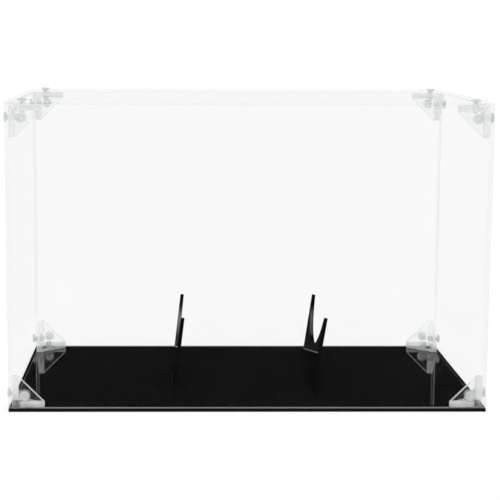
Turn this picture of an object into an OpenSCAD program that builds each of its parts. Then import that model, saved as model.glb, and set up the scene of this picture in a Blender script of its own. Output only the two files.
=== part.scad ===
// Clear display case for a full-size football: six flat acrylic panels, eight
// moulded corner brackets, twenty-four two-piece push rivets and two black
// U-shaped cradle plates that stand in slots in the base panel.
// X runs left to right, Y front to back, Z up. The origin is the centre of the
// base panel's underside, so the case stands on the plane Z = 0.

/* [Case] */
// Overall width, left to right
case_w = 350; // [320:5:400]
// Overall depth, front to back
case_d = 220; // [200:5:260]
// Overall height, without the rivet heads on the top
case_h = 226.5; // [220:0.5:280]
// Thickness of the acrylic sheet that every panel is cut from
panel_t = 2.7; // [2.6:0.1:3.5]

/* [Corner brackets] */
// Length of each of the three legs from the inner corner
leg = 23.2; // [21:0.2:28]
// Side of the square bar that runs along each leg
bar = 4.2; // [3.5:0.1:4.6]
// Thickness of the triangular web between two legs
web_t = 1.8; // [1.4:0.1:2.4]
// Width of the rib along the long edge of each web
rib_w = 0.8; // [0.7:0.1:1.6]
// Height of that rib above the panel
rib_h = 2.5; // [2.5:0.1:3.6]
// Radius of the boss round each rivet hole
boss_r = 3.8; // [3.2:0.1:4]
// Height of the boss above the panel
boss_h = 2.8; // [2.4:0.1:3.2]

/* [Rivets] */
// Distance of each rivet's axis from the case's outer faces
rivet_in = 11.8; // [11.6:0.1:13.5]
// Radius of the rivet's head
head_r = 3.65; // [3.2:0.05:4]
// Height of the rivet's head
head_h = 1.5; // [1.4:0.1:1.9]
// Radius of the rivet's shank
shank_r = 2.1; // [1.9:0.05:2.15]
// How far the rivet reaches past the panel's inner face
tail_len = 6.2; // [5.5:0.1:6.6]

/* [Cradle plates] */
// Thickness of the cradle plates
cradle_t = 2.8; // [2.4:0.1:2.9]
// Distance of each slot's centre from the case's centre
slot_x = 53.8; // [45:0.2:70]
// Width of each slot in the base
slot_w = 4.0; // [3.9:0.1:4.4]
// Length of each slot in the base
slot_len = 51; // [46:1:60]
// Height of the prong tips above the base, along the plate
prong_h = 56.4; // [50:0.2:65]
// Half the distance between the two prong tips
prong_y = 51.6; // [46:0.2:56]
// Height of the lowest point of the U above the base
saddle_h = 26; // [20:0.5:32]
// Lean of the left plate to the right, in degrees
lean_left = 6.5; // [0:0.1:9]
// Lean of the right plate to the right, in degrees
lean_right = 8.6; // [0:0.1:9]

/* [Hidden] */
$fn = 48;
eps = 0.01;

hw = case_w / 2;
hd = case_d / 2;
// Inner faces of the walls
ix = hw - panel_t;
iy = hd - panel_t;
iz_lo = panel_t;
iz_hi = case_h - panel_t;
wall_h = iz_hi - iz_lo;
// Rivet axes
rx = hw - rivet_in;
ry = hd - rivet_in;
rz_lo = rivet_in;
rz_hi = case_h - rivet_in;
// The same axes counted from the bracket's inner corner
rivet_u = rivet_in - panel_t;
// Holes: through the panels, and a little wider through the bracket
panel_hole_r = shank_r + 0.1;
bracket_hole_r = shank_r + 0.35;
barb_r = shank_r + 0.22;
// Pin and its bore
pin_r = 1.1;
bore_r = 1.15;
pin_head_r = 1.75;
pin_head_h = 0.55;
recess_r = 1.85;
recess_h = 0.65;
// Counterbore under the base, which hides the rivet heads
cbore_r = head_r + 0.2;
cbore_h = min(head_h + 0.1, panel_t - 0.7);
// Width of a bracket leg's cut end
end_w = bar + 0.2;
// Tab under each cradle plate
tab_len = slot_len - 1;
tab_h = panel_t - 0.1;
// Radius of the U that passes through both prong tips and the saddle
saddle_r = (pow(prong_y, 2) + pow(prong_h - saddle_h, 2)) / (2 * (prong_h - saddle_h));

clear_col = [0.93, 0.95, 0.96, 0.28];
frost_col = [0.86, 0.88, 0.89, 0.75];
rivet_col = [0.90, 0.91, 0.92, 0.9];
black_col = [0.03, 0.03, 0.035];

function arc(cx, cy, r, a0, a1, n) = [for (i = [0:n]) let (a = a0 + (a1 - a0) * i / n) [cx + r * cos(a), cy + r * sin(a)]];

// ---- Panels ----

module slot(x) {
    translate([x - slot_w / 2, -slot_len / 2, -1]) cube([slot_w, slot_len, panel_t + 2]);
}

module base_panel() {
    color(black_col) difference() {
        translate([-hw, -hd, 0]) cube([case_w, case_d, panel_t]);
        slot(-slot_x);
        slot(slot_x);
        for (sx = [-1, 1], sy = [-1, 1]) translate([sx * rx, sy * ry, 0]) {
            translate([0, 0, -1]) cylinder(r = panel_hole_r, h = panel_t + 2);
            translate([0, 0, -1]) cylinder(r = cbore_r, h = cbore_h + 1);
        }
    }
}

module top_panel() {
    color(clear_col) difference() {
        translate([-hw, -hd, iz_hi]) cube([case_w, case_d, panel_t]);
        for (sx = [-1, 1], sy = [-1, 1])
            translate([sx * rx, sy * ry, iz_hi - 1]) cylinder(r = panel_hole_r, h = panel_t + 2);
    }
}

// The front and back panels run the case's full width
module wide_wall(y0) {
    color(clear_col) difference() {
        translate([-hw, y0, iz_lo]) cube([case_w, panel_t, wall_h]);
        for (sx = [-1, 1], z = [rz_lo, rz_hi])
            translate([sx * rx, y0 - 1, z]) rotate([-90, 0, 0]) cylinder(r = panel_hole_r, h = panel_t + 2);
    }
}

// The side panels stand between the front and back panels
module side_wall(x0) {
    color(clear_col) difference() {
        translate([x0, -iy, iz_lo]) cube([panel_t, 2 * iy, wall_h]);
        for (sy = [-1, 1], z = [rz_lo, rz_hi])
            translate([x0 - 1, sy * ry, z]) rotate([0, 90, 0]) cylinder(r = panel_hole_r, h = panel_t + 2);
    }
}

module front_panel() { wide_wall(-hd); }
module back_panel() { wide_wall(iy); }
module left_panel() { side_wall(-hw); }
module right_panel() { side_wall(ix); }

// ---- Corner brackets ----

// Carries the bracket's XY face to its YZ face, and that one to its ZX face
module turned(k) {
    if (k == 0) children();
    else if (k == 1) rotate([90, 0, 90]) children();
    else rotate([90, 0, 90]) rotate([90, 0, 90]) children();
}

module bracket_face() {
    rib_cut = rib_w * sqrt(2);
    linear_extrude(web_t) polygon([[0, 0], [leg, 0], [leg, end_w], [end_w, leg], [0, leg]]);
    linear_extrude(rib_h) polygon([[leg, end_w], [end_w, leg], [end_w - rib_cut, leg], [leg, end_w - rib_cut]]);
    translate([rivet_u, rivet_u, 0]) cylinder(r = boss_r, h = boss_h);
    cube([leg, bar, bar]);
}

// One bracket with its inner corner at the origin and its legs along +X, +Y and +Z
module corner_bracket() {
    color(frost_col) difference() {
        union() for (k = [0:2]) turned(k) bracket_face();
        for (k = [0:2]) turned(k)
            translate([rivet_u, rivet_u, -1]) cylinder(r = bracket_hole_r, h = boss_h + 2);
    }
}

module placed_bracket(sx, sy, sz) {
    translate([sx * ix, sy * iy, sz < 0 ? iz_lo : iz_hi])
        mirror([sx > 0 ? 1 : 0, 0, 0]) mirror([0, sy > 0 ? 1 : 0, 0]) mirror([0, 0, sz > 0 ? 1 : 0])
            corner_bracket();
}

module corner_bracket_bottom_front_left() { placed_bracket(-1, -1, -1); }
module corner_bracket_bottom_front_right() { placed_bracket(1, -1, -1); }
module corner_bracket_bottom_back_left() { placed_bracket(-1, 1, -1); }
module corner_bracket_bottom_back_right() { placed_bracket(1, 1, -1); }
module corner_bracket_top_front_left() { placed_bracket(-1, -1, 1); }
module corner_bracket_top_front_right() { placed_bracket(1, -1, 1); }
module corner_bracket_top_back_left() { placed_bracket(-1, 1, 1); }
module corner_bracket_top_back_right() { placed_bracket(1, 1, 1); }

// ---- Push rivets ----
// Z = 0 is the panel's outer face, and the shank runs towards -Z

module rivet_sleeve() {
    tip = -(panel_t + tail_len);
    boss_z = -(panel_t + boss_h);
    dome = arc(0, 0, 1, 8, 62, 6);
    color(rivet_col) difference() {
        rotate_extrude() polygon(concat(
            [[bore_r, 0.3], [bore_r, tip], [shank_r - 0.7, tip], [shank_r - 0.05, tip + 1.2],
             [barb_r, boss_z - 0.9], [barb_r, boss_z - 0.4], [shank_r, boss_z - 0.05], [shank_r, 0],
             [head_r, 0], [head_r, 0.45]],
            [for (p = dome) [recess_r + 0.25 + (head_r - recess_r - 0.25) * p[0] * 0.98, 0.45 + (head_h - 0.45) * p[1] / sin(62)]],
            [[recess_r, head_h], [recess_r, head_h - recess_h], [bore_r, head_h - recess_h]]));
        // Two crossed slots split the tail into four legs
        for (a = [0, 90]) rotate([0, 0, a])
            translate([-0.3, -4, tip - 1]) cube([0.6, 8, tail_len - 0.4]);
    }
}

module rivet_pin() {
    top = head_h - recess_h + pin_head_h;
    tip = -(panel_t + tail_len) + 0.3;
    color(rivet_col) rotate_extrude() polygon([
        [0, tip], [0.55, tip], [pin_r, tip + 0.9], [pin_r, head_h - recess_h], [pin_head_r, head_h - recess_h],
        [pin_head_r, top - 0.2], [pin_head_r - 0.25, top], [0, top]]);
}

// The four rivet positions of each face, with the rivet's +Z turned outward
module on_front() { for (sx = [-1, 1], z = [rz_lo, rz_hi]) translate([sx * rx, -hd, z]) rotate([90, 0, 0]) children(); }
module on_back() { for (sx = [-1, 1], z = [rz_lo, rz_hi]) translate([sx * rx, hd, z]) rotate([-90, 0, 0]) children(); }
module on_left() { for (sy = [-1, 1], z = [rz_lo, rz_hi]) translate([-hw, sy * ry, z]) rotate([0, -90, 0]) children(); }
module on_right() { for (sy = [-1, 1], z = [rz_lo, rz_hi]) translate([hw, sy * ry, z]) rotate([0, 90, 0]) children(); }
module on_base() { for (sx = [-1, 1], sy = [-1, 1]) translate([sx * rx, sy * ry, cbore_h]) rotate([180, 0, 0]) children(); }
module on_top(sx, sy) { translate([sx * rx, sy * ry, case_h]) children(); }

// Under the base the head sits in its counterbore, so the shank is that much shorter
module base_sleeve() {
    tip = cbore_h - (panel_t + tail_len);
    intersection() {
        rivet_sleeve();
        translate([-5, -5, tip]) cube([10, 10, 20]);
    }
}

module base_pin() {
    tip = cbore_h - (panel_t + tail_len) + 0.3;
    intersection() {
        rivet_pin();
        translate([-5, -5, tip]) cube([10, 10, 20]);
    }
}

module front_rivet_sleeves() { on_front() rivet_sleeve(); }
module front_rivet_pins() { on_front() rivet_pin(); }
module back_rivet_sleeves() { on_back() rivet_sleeve(); }
module back_rivet_pins() { on_back() rivet_pin(); }
module left_rivet_sleeves() { on_left() rivet_sleeve(); }
module left_rivet_pins() { on_left() rivet_pin(); }
module right_rivet_sleeves() { on_right() rivet_sleeve(); }
module right_rivet_pins() { on_right() rivet_pin(); }
module base_rivet_sleeves() { on_base() base_sleeve(); }
module base_rivet_pins() { on_base() base_pin(); }
module top_rivet_sleeve_front_left() { on_top(-1, -1) rivet_sleeve(); }
module top_rivet_sleeve_front_right() { on_top(1, -1) rivet_sleeve(); }
module top_rivet_sleeve_back_left() { on_top(-1, 1) rivet_sleeve(); }
module top_rivet_sleeve_back_right() { on_top(1, 1) rivet_sleeve(); }
module top_rivet_pin_front_left() { on_top(-1, -1) rivet_pin(); }
module top_rivet_pin_front_right() { on_top(1, -1) rivet_pin(); }
module top_rivet_pin_back_left() { on_top(-1, 1) rivet_pin(); }
module top_rivet_pin_back_right() { on_top(1, 1) rivet_pin(); }

// ---- Cradle plates ----

// Outline in Y (across) and Z (up the plate), extruded along X
module cradle_blank() {
    foot_y = prong_y - 2.8;
    tip_in = prong_y - 0.7;
    tip_out = prong_y + 0.7;
    translate([-cradle_t / 2, 0, 0]) rotate([90, 0, 90]) difference() {
        linear_extrude(cradle_t) polygon([
            [-tab_len / 2, -tab_h], [tab_len / 2, -tab_h], [tab_len / 2, 0], [foot_y - 1, 0], [foot_y, 1],
            [tip_out, prong_h - 0.5], [tip_out - 0.5, prong_h], [0, prong_h], [-(tip_out - 0.5), prong_h],
            [-tip_out, prong_h - 0.5], [-foot_y, 1], [-(foot_y - 1), 0], [-tab_len / 2, 0]]);
        translate([0, saddle_h + saddle_r, -1]) cylinder(r = saddle_r, h = cradle_t + 2, $fn = 96);
    }
}

// Stands the plate in its slot at x, leaning by a degrees to the right
module placed_cradle(x, a) {
    color(black_col) translate([x - 0.3 + panel_t / 2 * tan(a), 0, panel_t + cradle_t / 2 * sin(a) + 0.05])
        rotate([0, a, 0]) cradle_blank();
}

module cradle_plate_left() { placed_cradle(-slot_x, lean_left); }
module cradle_plate_right() { placed_cradle(slot_x, lean_right); }

base_panel();
front_panel();
back_panel();
left_panel();
right_panel();
top_panel();
corner_bracket_bottom_front_left();
corner_bracket_bottom_front_right();
corner_bracket_bottom_back_left();
corner_bracket_bottom_back_right();
corner_bracket_top_front_left();
corner_bracket_top_front_right();
corner_bracket_top_back_left();
corner_bracket_top_back_right();
cradle_plate_left();
cradle_plate_right();
front_rivet_sleeves();
front_rivet_pins();
back_rivet_sleeves();
back_rivet_pins();
left_rivet_sleeves();
left_rivet_pins();
right_rivet_sleeves();
right_rivet_pins();
base_rivet_sleeves();
base_rivet_pins();
top_rivet_sleeve_front_left();
top_rivet_sleeve_front_right();
top_rivet_sleeve_back_left();
top_rivet_sleeve_back_right();
top_rivet_pin_front_left();
top_rivet_pin_front_right();
top_rivet_pin_back_left();
top_rivet_pin_back_right();
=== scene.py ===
import math

import bpy
from mathutils import Matrix, Vector


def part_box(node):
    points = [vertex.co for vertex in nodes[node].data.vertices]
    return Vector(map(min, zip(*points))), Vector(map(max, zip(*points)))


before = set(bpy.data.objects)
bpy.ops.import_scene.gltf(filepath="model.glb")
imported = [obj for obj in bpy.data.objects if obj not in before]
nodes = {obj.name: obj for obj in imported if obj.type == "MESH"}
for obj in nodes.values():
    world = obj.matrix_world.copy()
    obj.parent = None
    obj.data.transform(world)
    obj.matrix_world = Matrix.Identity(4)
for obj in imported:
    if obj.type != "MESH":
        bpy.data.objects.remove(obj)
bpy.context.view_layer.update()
scene = bpy.context.scene
MM = 0.001


# ---------------------------------------------------------------- camera

def make_camera():
    """The view that the reference has: 108 mm lens, 8.5 degrees down, a little to the left of the case's middle."""
    pitch, yaw, roll = 0.1475, -0.0179, 0.0040
    place = Vector((-52.47, -1179.46, 277.04)) * MM
    sp, cp, sy, cy, sr, cr = (f(a) for a in (pitch, yaw, roll) for f in (math.sin, math.cos))
    forward = Vector((-sy * cp, cy * cp, -sp))
    up0 = Vector((-sy * sp, cy * sp, cp))
    right0 = Vector((cy, sy, 0.0))
    right = cr * right0 + sr * up0
    up = -sr * right0 + cr * up0
    data = bpy.data.cameras.new("camera")
    data.sensor_width = 36.0
    data.lens = 1500.0 / 500.0 * 36.0
    data.shift_x = (250.0 - 202.95) / 500.0
    data.shift_y = (252.43 - 250.0) / 500.0
    data.clip_start = 0.01
    data.clip_end = 200.0
    cam = bpy.data.objects.new("camera", data)
    scene.collection.objects.link(cam)
    m = Matrix.Identity(4)
    for k, axis in enumerate((right, up, -forward)):
        for r in range(3):
            m[r][k] = axis[r]
    m.translation = place
    cam.matrix_world = m
    scene.camera = cam


# ---------------------------------------------------------------- node helpers

class Tree:
    """Short names for building a node tree."""

    def __init__(self, tree):
        self.t = tree
        self.t.nodes.clear()

    def add(self, kind, **props):
        n = self.t.nodes.new(kind)
        for k, v in props.items():
            setattr(n, k, v)
        return n

    def link(self, a, b):
        self.t.links.new(a, b)

    def put(self, socket, value):
        if isinstance(value, bpy.types.NodeSocket):
            self.link(value, socket)
        else:
            socket.default_value = value

    def math(self, op, a, b=0.0, clamp=False):
        n = self.add("ShaderNodeMath", operation=op, use_clamp=clamp)
        self.put(n.inputs[0], a)
        self.put(n.inputs[1], b)
        return n.outputs[0]

    def ramp(self, value, lo, hi, out_lo=0.0, out_hi=1.0, kind="LINEAR"):
        n = self.add("ShaderNodeMapRange", interpolation_type=kind, clamp=True)
        self.put(n.inputs["Value"], value)
        self.put(n.inputs["From Min"], lo)
        self.put(n.inputs["From Max"], hi)
        self.put(n.inputs["To Min"], out_lo)
        self.put(n.inputs["To Max"], out_hi)
        return n.outputs["Result"]

    def mix(self, fac, a, b):
        n = self.add("ShaderNodeMixShader")
        self.put(n.inputs[0], fac)
        self.link(a, n.inputs[1])
        self.link(b, n.inputs[2])
        return n.outputs[0]

    def where(self):
        """Object coordinates, in metres."""
        return self.add("ShaderNodeTexCoord").outputs["Object"]

    def noise(self, scale, detail=3.0, rough=0.5, vector=None, stretch=None):
        src = vector or self.where()
        if stretch:
            m = self.add("ShaderNodeMapping")
            m.inputs["Scale"].default_value = stretch
            self.link(src, m.inputs["Vector"])
            src = m.outputs[0]
        n = self.add("ShaderNodeTexNoise")
        n.inputs["Scale"].default_value = scale
        n.inputs["Detail"].default_value = detail
        n.inputs["Roughness"].default_value = rough
        self.link(src, n.inputs["Vector"])
        return n.outputs[0]

    def bump(self, height, strength, distance):
        n = self.add("ShaderNodeBump")
        n.inputs["Strength"].default_value = strength
        n.inputs["Distance"].default_value = distance
        self.link(height, n.inputs["Height"])
        return n.outputs[0]


def material(name):
    m = bpy.data.materials.new(name)
    m.use_nodes = True
    return m, Tree(m.node_tree)


# ---------------------------------------------------------------- materials

def clear_sheet(name, axis):
    """Polished clear acrylic sheet whose thickness runs along axis (0, 1 or 2). Its two faces are nearly invisible, its
    upright cut edges are nearly clear, and its level cut edges and its arrises are frosted white: partly the real
    saw-cut frost, partly painted light standing in for the bright line that light carried inside the sheet makes along
    those edges."""
    m, t = material(name)
    out = t.add("ShaderNodeOutputMaterial")
    facing = t.add("ShaderNodeLayerWeight")
    facing.inputs["Blend"].default_value = 0.5
    grazing = t.math("POWER", facing.outputs["Facing"], 5.0)
    mirror = t.math("ADD", t.math("MULTIPLY", grazing, 0.012), 0.007)

    # A trace of handling haze in the gloss, and a few hairlines that only catch the light
    haze = t.noise(9.0, 4.0, 0.55)
    hair = t.noise(90.0, 2.0, 0.6, stretch=(1.0, 0.03, 1.0) if axis != 1 else (0.03, 1.0, 1.0))
    gloss_rough = t.math("ADD", t.ramp(haze, 0.35, 0.75, 0.015, 0.05), t.ramp(hair, 0.70, 0.74, 0.0, 0.10))

    clear = t.add("ShaderNodeBsdfTransparent")
    clear.inputs["Color"].default_value = (0.985, 0.986, 0.986, 1.0)
    gloss = t.add("ShaderNodeBsdfGlossy")
    gloss.inputs["Color"].default_value = (1.0, 1.0, 1.0, 1.0)
    t.link(gloss_rough, gloss.inputs["Roughness"])
    face = t.mix(mirror, clear.outputs[0], gloss.outputs[0])

    # Saw-cut edge: fine lines across the thickness, part frosted and part see-through
    cut = t.noise(1400.0, 2.0, 0.5, stretch=[(0.05 if k == axis else 1.0) for k in range(3)])
    edge_clear = t.add("ShaderNodeBsdfTransparent")
    edge_clear.inputs["Color"].default_value = (0.920, 0.926, 0.926, 1.0)
    frost = t.add("ShaderNodeBsdfDiffuse")
    frost.inputs["Color"].default_value = (0.93, 0.935, 0.935, 1.0)
    glow = t.add("ShaderNodeBsdfTranslucent")
    glow.inputs["Color"].default_value = (0.93, 0.935, 0.935, 1.0)
    frosted = t.mix(0.45, frost.outputs[0], glow.outputs[0])

    geo = t.add("ShaderNodeNewGeometry")
    sep = t.add("ShaderNodeSeparateXYZ")
    t.link(geo.outputs["True Normal"], sep.inputs[0])
    size = [t.math("ABSOLUTE", sep.outputs[k]) for k in range(3)]
    on_face = t.math("GREATER_THAN", size[axis], 0.9)
    square = t.math("GREATER_THAN", t.math("MAXIMUM", t.math("MAXIMUM", size[0], size[1]), size[2]), 0.9)
    level = t.math("GREATER_THAN", size[2], 0.9)
    upright = t.math("MULTIPLY", square, t.math("SUBTRACT", 1.0, level))
    # Painted light: level edges and arrises get nearly full frost and upright edges little. This is a painted stand-in
    # for the bright line of light the sheet carries to its edges; the saw-cut frost itself is real
    frost_as_edge_light = t.ramp(upright, 0.0, 1.0, 0.95, 0.14)
    edge = t.mix(t.math("MULTIPLY", frost_as_edge_light, t.ramp(cut, 0.3, 0.7, 0.92, 1.0)), edge_clear.outputs[0], frosted)
    t.link(t.mix(on_face, edge, face), out.inputs["Surface"])
    return m


def black_acrylic(name, base, matt, rough_lo, rough_hi):
    """Opaque black polished sheet with a faint haze, a few hairline scratches and specks of dust."""
    m, t = material(name)
    out = t.add("ShaderNodeOutputMaterial")
    p = t.add("ShaderNodeBsdfPrincipled")
    p.inputs["IOR"].default_value = 1.49
    haze = t.noise(14.0, 4.0, 0.6)
    hair = t.noise(300.0, 2.0, 0.6, stretch=(0.05, 1.0, 1.0))
    hair2 = t.noise(280.0, 2.0, 0.6, stretch=(1.0, 0.04, 1.0))
    scratch = t.math("MAXIMUM", t.ramp(hair, 0.76, 0.80), t.ramp(hair2, 0.77, 0.81))
    specks = t.add("ShaderNodeTexVoronoi", feature="F1")
    specks.inputs["Scale"].default_value = 240.0
    t.link(t.where(), specks.inputs["Vector"])
    speck = t.ramp(specks.outputs["Distance"], 0.035, 0.02)
    sparse = t.ramp(t.noise(40.0, 2.0, 0.5), 0.56, 0.62)
    dust = t.math("MULTIPLY", speck, sparse)
    rough = t.math("ADD", t.ramp(haze, 0.35, 0.7, rough_lo, rough_hi), t.math("MULTIPLY", scratch, 0.03))
    rough = t.math("ADD", rough, t.math("MULTIPLY", dust, 0.4))
    t.link(rough, p.inputs["Roughness"])
    col = t.add("ShaderNodeMix", data_type="RGBA")
    t.link(t.math("MULTIPLY", dust, 0.35), col.inputs[0])
    col.inputs[6].default_value = (base, base, base * 1.06, 1.0)
    col.inputs[7].default_value = (0.10, 0.10, 0.10, 1.0)
    t.link(col.outputs[2], p.inputs["Base Color"])
    dull = t.add("ShaderNodeBsdfDiffuse")
    dull.inputs["Color"].default_value = (base, base, base, 1.0)
    t.link(t.mix(matt, p.outputs[0], dull.outputs[0]), out.inputs["Surface"])
    return m


def moulded_clear(name):
    """Clear injection-moulded plastic. The thin webs are polished and see-through; the bars, ribs and bosses have the
    mould's matt texture, so they scatter light."""
    m, t = material(name)
    out = t.add("ShaderNodeOutputMaterial")

    # Distances from the walls, the same for all eight brackets: u and v from the sides, w from the base or the top
    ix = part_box("right_panel")[0][0]
    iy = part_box("back_panel")[0][1]
    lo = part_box("base_panel")[1][2]
    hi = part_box("top_panel")[0][2]
    at = t.add("ShaderNodeSeparateXYZ")
    t.link(t.where(), at.inputs[0])
    u = t.math("SUBTRACT", ix, t.math("ABSOLUTE", at.outputs[0]))
    v = t.math("SUBTRACT", iy, t.math("ABSOLUTE", at.outputs[1]))
    w = t.math("MINIMUM", t.math("SUBTRACT", at.outputs[2], lo), t.math("SUBTRACT", hi, at.outputs[2]))
    low = t.math("MINIMUM", t.math("MINIMUM", u, v), w)
    middle = t.math("MAXIMUM", t.math("MINIMUM", u, v), t.math("MINIMUM", t.math("MAXIMUM", u, v), w))
    total = t.math("ADD", t.math("ADD", u, v), w)
    in_plane = t.math("SUBTRACT", total, low)
    bar = t.ramp(middle, 4.6 * MM, 4.2 * MM)
    # The outer half of the rib along each web's long edge
    rib = t.ramp(in_plane, 26.9 * MM, 27.1 * MM)
    # How far a point on a web is from the rivet's axis, which stands equally far from both walls
    far = t.math("SUBTRACT", in_plane, middle)
    da = t.math("SUBTRACT", middle, 9.1 * MM)
    db = t.math("SUBTRACT", far, 9.1 * MM)
    ring = t.math("SQRT", t.math("ADD", t.math("MULTIPLY", da, da), t.math("MULTIPLY", db, db)))
    boss = t.math("MULTIPLY", t.ramp(ring, 4.1 * MM, 3.9 * MM), 0.30)
    thick = t.math("MAXIMUM", t.math("MAXIMUM", bar, rib), boss)
    # The cube where the three bars meet is clearer
    largest = t.math("MAXIMUM", t.math("MAXIMUM", u, v), w)
    thick = t.math("MULTIPLY", thick, t.ramp(largest, 5.2 * MM, 6.2 * MM, 0.35, 1.0))

    flow = t.noise(150.0, 3.0, 0.55)
    grain = t.noise(2600.0, 2.0, 0.5)
    bump = t.bump(t.math("ADD", flow, t.math("MULTIPLY", grain, 0.2)), 0.35, 0.0003)

    see = t.add("ShaderNodeBsdfTransparent")
    depth = t.add("ShaderNodeMix", data_type="RGBA")
    t.link(thick, depth.inputs[0])
    depth.inputs[6].default_value = (0.985, 0.988, 0.988, 1.0)
    depth.inputs[7].default_value = (0.92, 0.925, 0.925, 1.0)
    t.link(depth.outputs[2], see.inputs["Color"])
    frost = t.add("ShaderNodeBsdfDiffuse")
    frost.inputs["Color"].default_value = (0.950, 0.955, 0.957, 1.0)
    t.link(bump, frost.inputs["Normal"])
    glow = t.add("ShaderNodeBsdfTranslucent")
    glow.inputs["Color"].default_value = (0.950, 0.955, 0.957, 1.0)
    t.link(bump, glow.inputs["Normal"])
    milk = t.mix(0.5, frost.outputs[0], glow.outputs[0])
    amount = t.math("ADD", t.math("MULTIPLY", thick, t.ramp(flow, 0.3, 0.7, 0.58, 0.76)), 0.015)
    body = t.mix(amount, see.outputs[0], milk)

    facing = t.add("ShaderNodeLayerWeight")
    facing.inputs["Blend"].default_value = 0.5
    shine = t.math("ADD", t.math("MULTIPLY", t.math("POWER", facing.outputs["Facing"], 5.0), 0.12), 0.025)
    gloss = t.add("ShaderNodeBsdfGlossy")
    gloss.inputs["Color"].default_value = (1.0, 1.0, 1.0, 1.0)
    t.link(t.ramp(thick, 0.0, 1.0, 0.08, 0.30), gloss.inputs["Roughness"])
    t.link(bump, gloss.inputs["Normal"])
    t.link(t.mix(shine, body, gloss.outputs[0]), out.inputs["Surface"])
    return m


def rivet_plastic(name, tint, head, shank):
    """Translucent natural plastic with a soft sheen and a fine moulded texture. head and shank say how much light goes
    straight through a surface outside the case and inside it: the thick heads are milky, the thin shanks clearer."""
    m, t = material(name)
    out = t.add("ShaderNodeOutputMaterial")
    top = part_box("top_panel")[1]
    at = t.add("ShaderNodeSeparateXYZ")
    t.link(t.where(), at.inputs[0])
    beyond = t.math("MAXIMUM", t.math("SUBTRACT", t.math("ABSOLUTE", at.outputs[0]), top[0]),
                    t.math("SUBTRACT", t.math("ABSOLUTE", at.outputs[1]), top[1]))
    beyond = t.math("MAXIMUM", beyond, t.math("SUBTRACT", at.outputs[2], top[2]))
    through = t.ramp(beyond, -0.05 * MM, 0.05 * MM, shank, head)
    mottle = t.noise(900.0, 3.0, 0.5)
    grain = t.noise(5200.0, 2.0, 0.5)
    bump = t.bump(grain, 0.3, 0.00006)
    tone = t.add("ShaderNodeMix", data_type="RGBA")
    t.link(t.ramp(mottle, 0.3, 0.7), tone.inputs[0])
    tone.inputs[6].default_value = (*[c * 0.95 for c in tint], 1.0)
    tone.inputs[7].default_value = (*tint, 1.0)
    frost = t.add("ShaderNodeBsdfDiffuse")
    t.link(tone.outputs[2], frost.inputs["Color"])
    t.link(bump, frost.inputs["Normal"])
    glow = t.add("ShaderNodeBsdfTranslucent")
    t.link(tone.outputs[2], glow.inputs["Color"])
    t.link(bump, glow.inputs["Normal"])
    see = t.add("ShaderNodeBsdfTransparent")
    see.inputs["Color"].default_value = (0.97, 0.975, 0.98, 1.0)
    body = t.mix(through, t.mix(0.48, frost.outputs[0], glow.outputs[0]), see.outputs[0])
    facing = t.add("ShaderNodeLayerWeight")
    facing.inputs["Blend"].default_value = 0.5
    shine = t.math("ADD", t.math("MULTIPLY", t.math("POWER", facing.outputs["Facing"], 5.0), 0.30), 0.042)
    shine = t.math("MULTIPLY", shine, t.ramp(beyond, -0.05 * MM, 0.05 * MM, 0.35, 1.0))
    gloss = t.add("ShaderNodeBsdfGlossy")
    gloss.inputs["Color"].default_value = (1.0, 1.0, 1.0, 1.0)
    t.link(t.ramp(mottle, 0.3, 0.7, 0.24, 0.36), gloss.inputs["Roughness"])
    t.link(bump, gloss.inputs["Normal"])
    t.link(t.mix(shine, body, gloss.outputs[0]), out.inputs["Surface"])
    return m


def dress(obj, mat):
    if obj.data.materials:
        for k in range(len(obj.data.materials)):
            obj.data.materials[k] = mat
    else:
        obj.data.materials.append(mat)


def soften(obj, width_mm, segments=2, angle=30.0):
    """Welds the CAD mesh's split corners, then rounds its sharp edges a little."""
    w = obj.modifiers.new("weld", "WELD")
    w.merge_threshold = 0.000001
    b = obj.modifiers.new("edge", "BEVEL")
    b.width = width_mm * MM
    b.segments = segments
    b.limit_method = "ANGLE"
    b.angle_limit = math.radians(angle)
    b.use_clamp_overlap = True
    n = obj.modifiers.new("normals", "WEIGHTED_NORMAL")
    n.mode = "FACE_AREA"
    n.weight = 100
    n.keep_sharp = True


def dress_all():
    sheet = {k: clear_sheet("clear_acrylic_" + "xyz"[k], k) for k in range(3)}
    black = black_acrylic("black_acrylic_base", 0.0067, 0.30, 0.022, 0.045)
    black_cradle = black_acrylic("black_acrylic_cradle", 0.0040, 0.06, 0.006, 0.016)
    bracket = moulded_clear("bracket_plastic")
    sleeve = rivet_plastic("rivet_sleeve_plastic", (0.80, 0.803, 0.806), 0.42, 0.88)
    pin = rivet_plastic("rivet_pin_plastic", (0.95, 0.952, 0.954), 0.50, 0.92)
    for name, obj in nodes.items():
        if name == "base_panel":
            dress(obj, black)
            soften(obj, 0.15, 2)
        elif name.startswith("cradle_plate"):
            dress(obj, black_cradle)
            soften(obj, 0.2, 2)
        elif name.endswith("_panel"):
            axis = {"front": 1, "back": 1, "left": 0, "right": 0, "top": 2}[name.split("_")[0]]
            dress(obj, sheet[axis])
            soften(obj, 0.17, 1)
        elif name.startswith("corner_bracket"):
            dress(obj, bracket)
            soften(obj, 0.35, 3)
        elif "sleeve" in name:
            dress(obj, sleeve)
        else:
            dress(obj, pin)


# ---------------------------------------------------------------- stage and light

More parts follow.
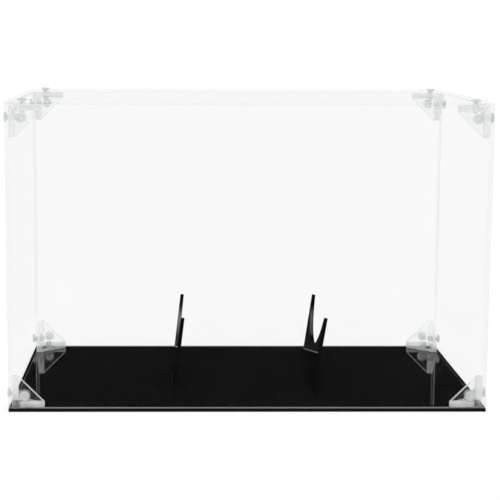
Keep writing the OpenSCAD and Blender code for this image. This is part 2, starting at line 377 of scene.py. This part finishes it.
def make_world():
    w = bpy.data.worlds.new("studio")
    scene.world = w
    w.use_nodes = True
    t = Tree(w.node_tree)
    out = t.add("ShaderNodeOutputWorld")
    path = t.add("ShaderNodeLightPath")

    def background(strength, color=(1.0, 1.0, 1.0, 1.0)):
        n = t.add("ShaderNodeBackground")
        t.put(n.inputs["Color"], color)
        t.put(n.inputs["Strength"], strength)
        return n.outputs[0]

    sep = t.add("ShaderNodeSeparateXYZ")
    t.link(t.add("ShaderNodeTexCoord").outputs["Generated"], sep.inputs[0])
    height = sep.outputs[2]
    seen = background(1.03)
    # A soft tent, a little brighter at the sides than overhead
    dome = background(t.ramp(height, -0.05, 0.80, 1.08, 0.96))
    # What gloss mirrors: a dark room with one broad soft light straight overhead
    # and behind the case, brightest at the zenith and fading to 40 degrees up behind
    turn = t.math("MULTIPLY", t.math("ARCTAN2", height, t.math("MULTIPLY", sep.outputs[1], -1.0)), 180.0 / math.pi)
    near = t.ramp(turn, 64.0, 92.0, 0.0, 1.0, "SMOOTHSTEP")
    beyond = t.ramp(turn, 93.0, 140.0, 1.0, 0.0)
    wide = t.ramp(t.math("ABSOLUTE", sep.outputs[0]), 0.08, 0.42, 1.0, 0.0, "SMOOTHSTEP")
    box = t.math("MULTIPLY", t.math("MULTIPLY", near, beyond), wide)
    room = background(t.ramp(box, 0.0, 1.0, 0.008, 4.6))
    direct = t.math("MAXIMUM", path.outputs["Is Camera Ray"], path.outputs["Is Transmission Ray"])
    lit = t.mix(path.outputs["Is Glossy Ray"], dome, room)
    t.link(t.mix(direct, lit, seen), out.inputs["Surface"])
    w.cycles.sampling_method = "NONE"


def make_floor():
    mesh = bpy.data.meshes.new("floor")
    s = 30.0
    mesh.from_pydata([(-s, -s, 0), (s, -s, 0), (s, s, 0), (-s, s, 0)], [], [(0, 1, 2, 3)])
    floor = bpy.data.objects.new("floor", mesh)
    floor.location.z = -0.00002
    scene.collection.objects.link(floor)
    m, t = material("floor")
    out = t.add("ShaderNodeOutputMaterial")
    paint = t.add("ShaderNodeBsdfDiffuse")
    paint.inputs["Color"].default_value = (0.30, 0.30, 0.30, 1.0)
    white = t.add("ShaderNodeEmission")
    # No light under the base panel, which lies on the floor
    lo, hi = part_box("base_panel")
    geo = t.add("ShaderNodeNewGeometry")
    sep = t.add("ShaderNodeSeparateXYZ")
    t.link(geo.outputs["Position"], sep.inputs[0])
    dx = t.math("SUBTRACT", t.math("ABSOLUTE", sep.outputs[0]), hi[0] - 0.001)
    dy = t.math("SUBTRACT", t.math("ABSOLUTE", sep.outputs[1]), hi[1] - 0.001)
    clear = t.math("GREATER_THAN", t.math("MAXIMUM", dx, dy), 0.0)
    t.link(t.math("MULTIPLY", clear, 0.694), white.inputs["Strength"])
    both = t.add("ShaderNodeAddShader")
    t.link(paint.outputs[0], both.inputs[0])
    t.link(white.outputs[0], both.inputs[1])
    bounce = t.add("ShaderNodeBsdfDiffuse")
    bounce.inputs["Color"].default_value = (0.62, 0.62, 0.62, 1.0)
    # In gloss, the table is as dim as the room
    dim = t.add("ShaderNodeEmission")
    dim.inputs["Strength"].default_value = 0.02
    path = t.add("ShaderNodeLightPath")
    diffuse = t.mix(path.outputs["Is Diffuse Ray"], both.outputs[0], bounce.outputs[0])
    t.link(t.mix(path.outputs["Is Glossy Ray"], diffuse, dim.outputs[0]), out.inputs["Surface"])
    mesh.materials.append(m)


def make_lights():
    data = bpy.data.lights.new("soft_key", "SUN")
    data.energy = 0.62
    data.angle = math.radians(50.0)
    key = bpy.data.objects.new("soft_key", data)
    key.rotation_euler = (math.radians(47.0), math.radians(-14.0), 0.0)
    key.visible_glossy = False
    scene.collection.objects.link(key)

    # The lit backdrop's glow through the case from behind, too level to reach the floor near it
    glow = bpy.data.lights.new("backdrop_glow", "AREA")
    glow.shape = "RECTANGLE"
    glow.size = 0.42
    glow.size_y = 0.05
    glow.spread = math.radians(50.0)
    glow.energy = 0.05
    back = bpy.data.objects.new("backdrop_glow", glow)
    back.location = (0.0, 0.17, 0.032)
    back.rotation_euler = (math.radians(-90.0), 0.0, 0.0)
    back.visible_camera = False
    back.visible_glossy = False
    scene.collection.objects.link(back)


def set_look():
    scene.view_settings.view_transform = "Standard"
    scene.view_settings.look = "None"
    scene.view_settings.exposure = 0.0
    scene.view_settings.gamma = 1.0
    c = scene.cycles
    c.max_bounces = 24
    c.diffuse_bounces = 12
    c.glossy_bounces = 8
    c.transmission_bounces = 16
    c.transparent_max_bounces = 64
    c.caustics_reflective = True
    c.caustics_refractive = True
    c.blur_glossy = 0.0
    c.sample_clamp_indirect = 6.0
    c.use_denoising = True
    c.seed = 7


make_camera()
make_world()
make_floor()
make_lights()
dress_all()
set_look()
